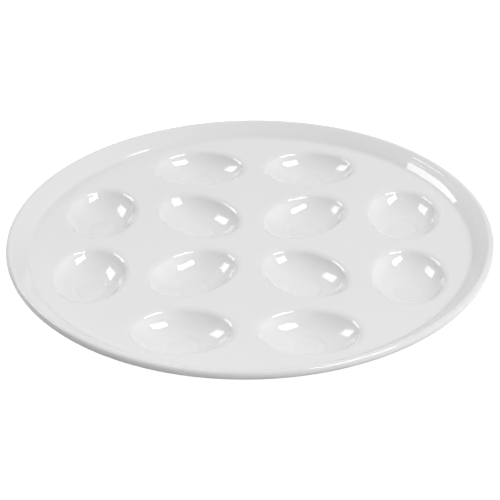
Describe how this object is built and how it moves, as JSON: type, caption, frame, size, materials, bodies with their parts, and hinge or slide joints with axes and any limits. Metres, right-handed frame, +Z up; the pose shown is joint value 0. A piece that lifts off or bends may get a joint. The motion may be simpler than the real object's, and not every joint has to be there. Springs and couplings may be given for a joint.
{
  "type": "deviled egg platter",
  "caption": "Round glazed ceramic platter with oval wells that hold halved eggs, a flat deck, a low sloping rim with a rounded lip, and a foot ring.",
  "frame": {"origin": "centre of the foot ring on the table", "axes": "+Z up through the deck; +X along one pair of inner edges, so that two wells lie at each side"},
  "size_m": [0.295, 0.295, 0.0283],
  "materials": {
    "fired_clay": "bare fired porcelain, fine and matt, as on a ground foot ring",
    "gloss_glaze": "high gloss white glaze",
    "recess_glaze": "gloss white glaze, a little thinner and less even than on the food side"
  },
  "bodies": {
    "root": {"china_body": "fired_clay", "outer_glaze": "gloss_glaze", "recess_glaze": "recess_glaze"}
  },
  "joints": []
}
